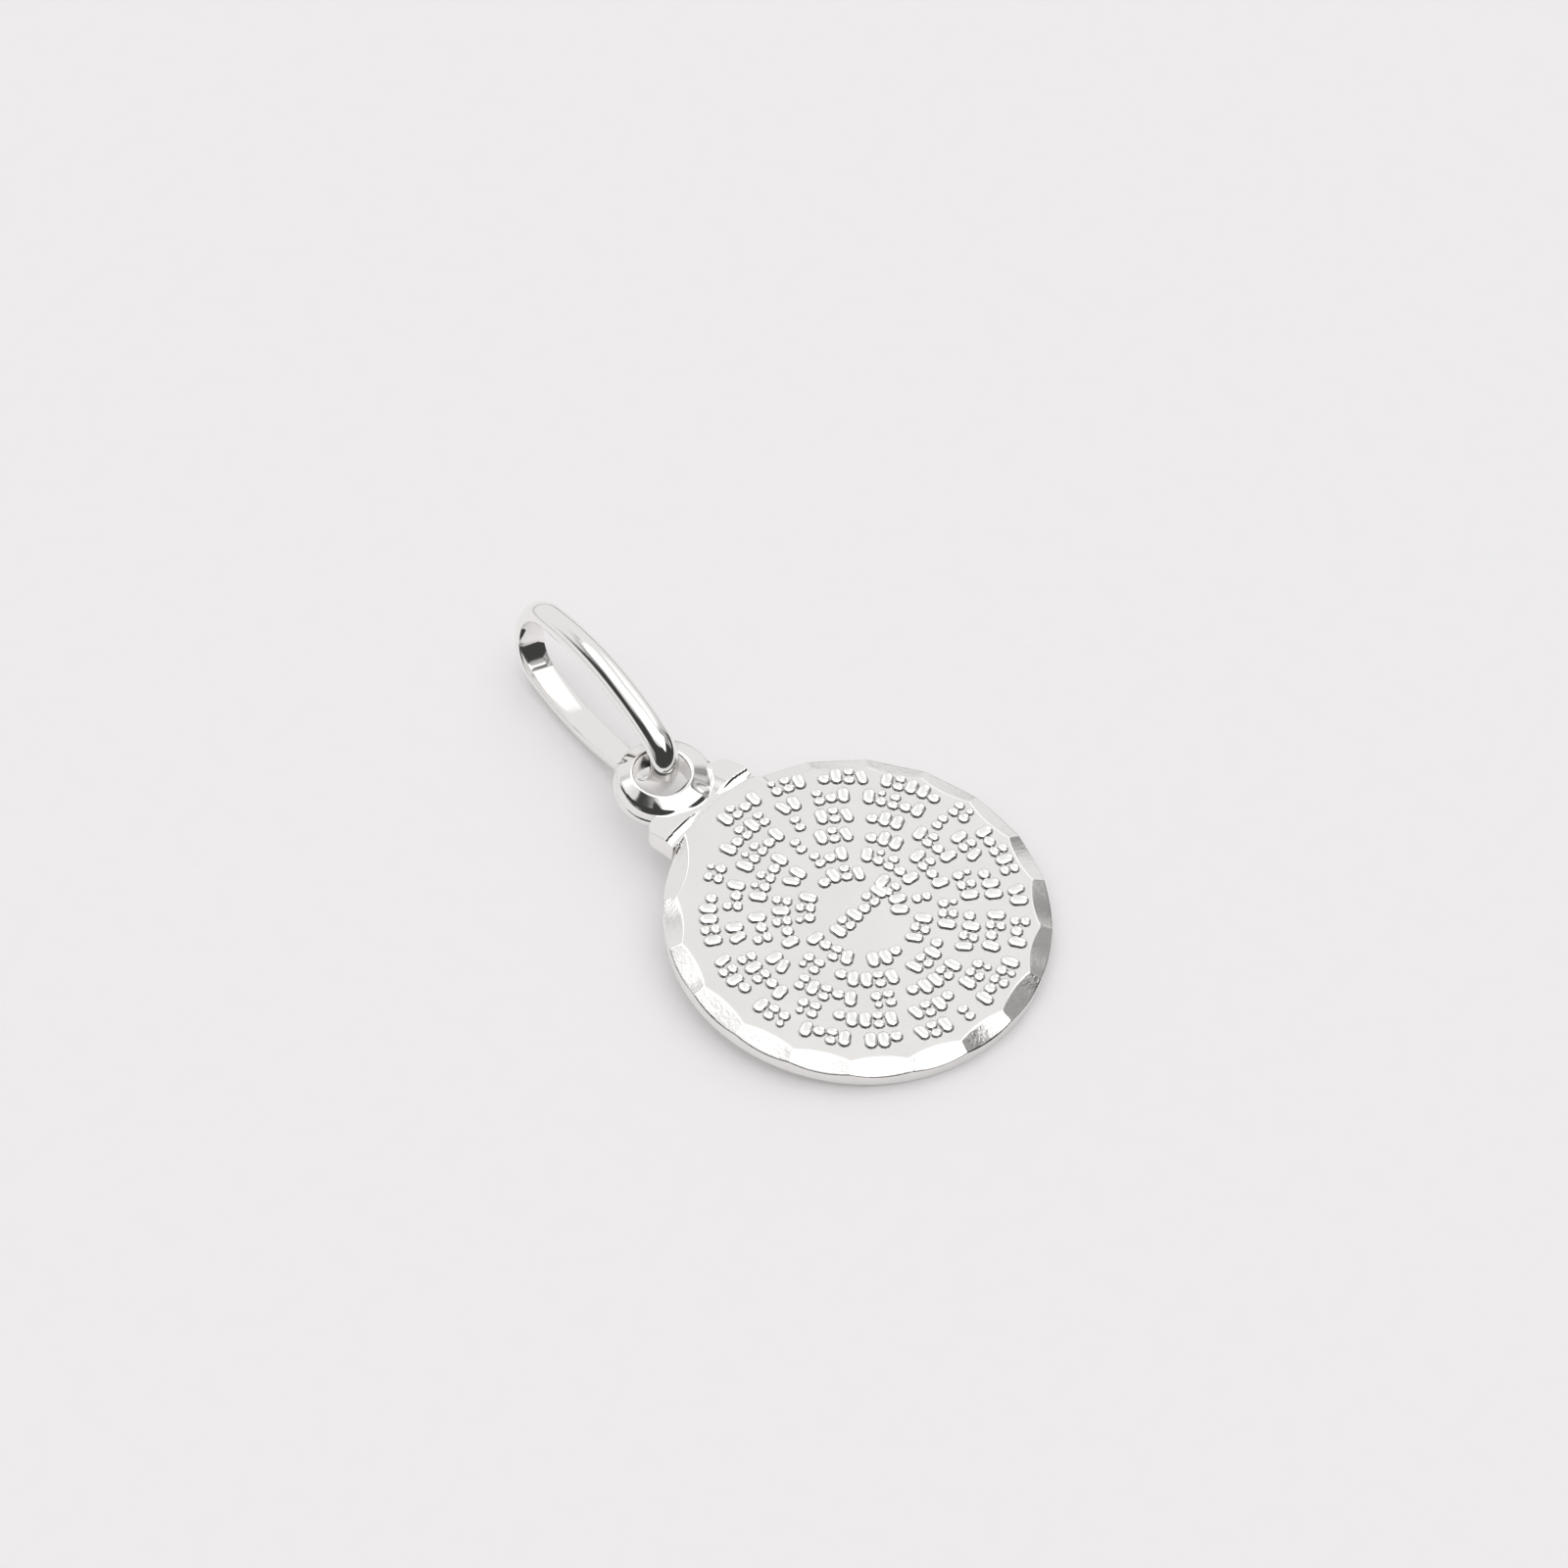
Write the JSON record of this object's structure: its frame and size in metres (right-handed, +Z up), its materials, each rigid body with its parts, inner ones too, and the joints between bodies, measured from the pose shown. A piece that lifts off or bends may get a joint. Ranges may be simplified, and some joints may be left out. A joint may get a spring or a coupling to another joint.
{
  "type": "disc pendant",
  "caption": "Round struck silver medal with a scalloped faceted rim and spiral relief, hung by its domed eye on an oblong half-round bail.",
  "frame": {"origin": "on the surface that the pendant lies on, under the middle of its bounding box", "axes": "+Y along the disc's neck, from the disc towards the bail; +Z up, out of the relief side; +X to the right seen from above with the bail at the top"},
  "size_m": [0.015, 0.027, 0.0044],
  "materials": {
    "medal_silver": "bright silver, satin between the raised marks, polished on the rim's facets, the collar and the eye",
    "bail_silver": "mirror-polished silver"
  },
  "bodies": {
    "root": {"medal": "medal_silver", "bail": "bail_silver"}
  },
  "joints": []
}
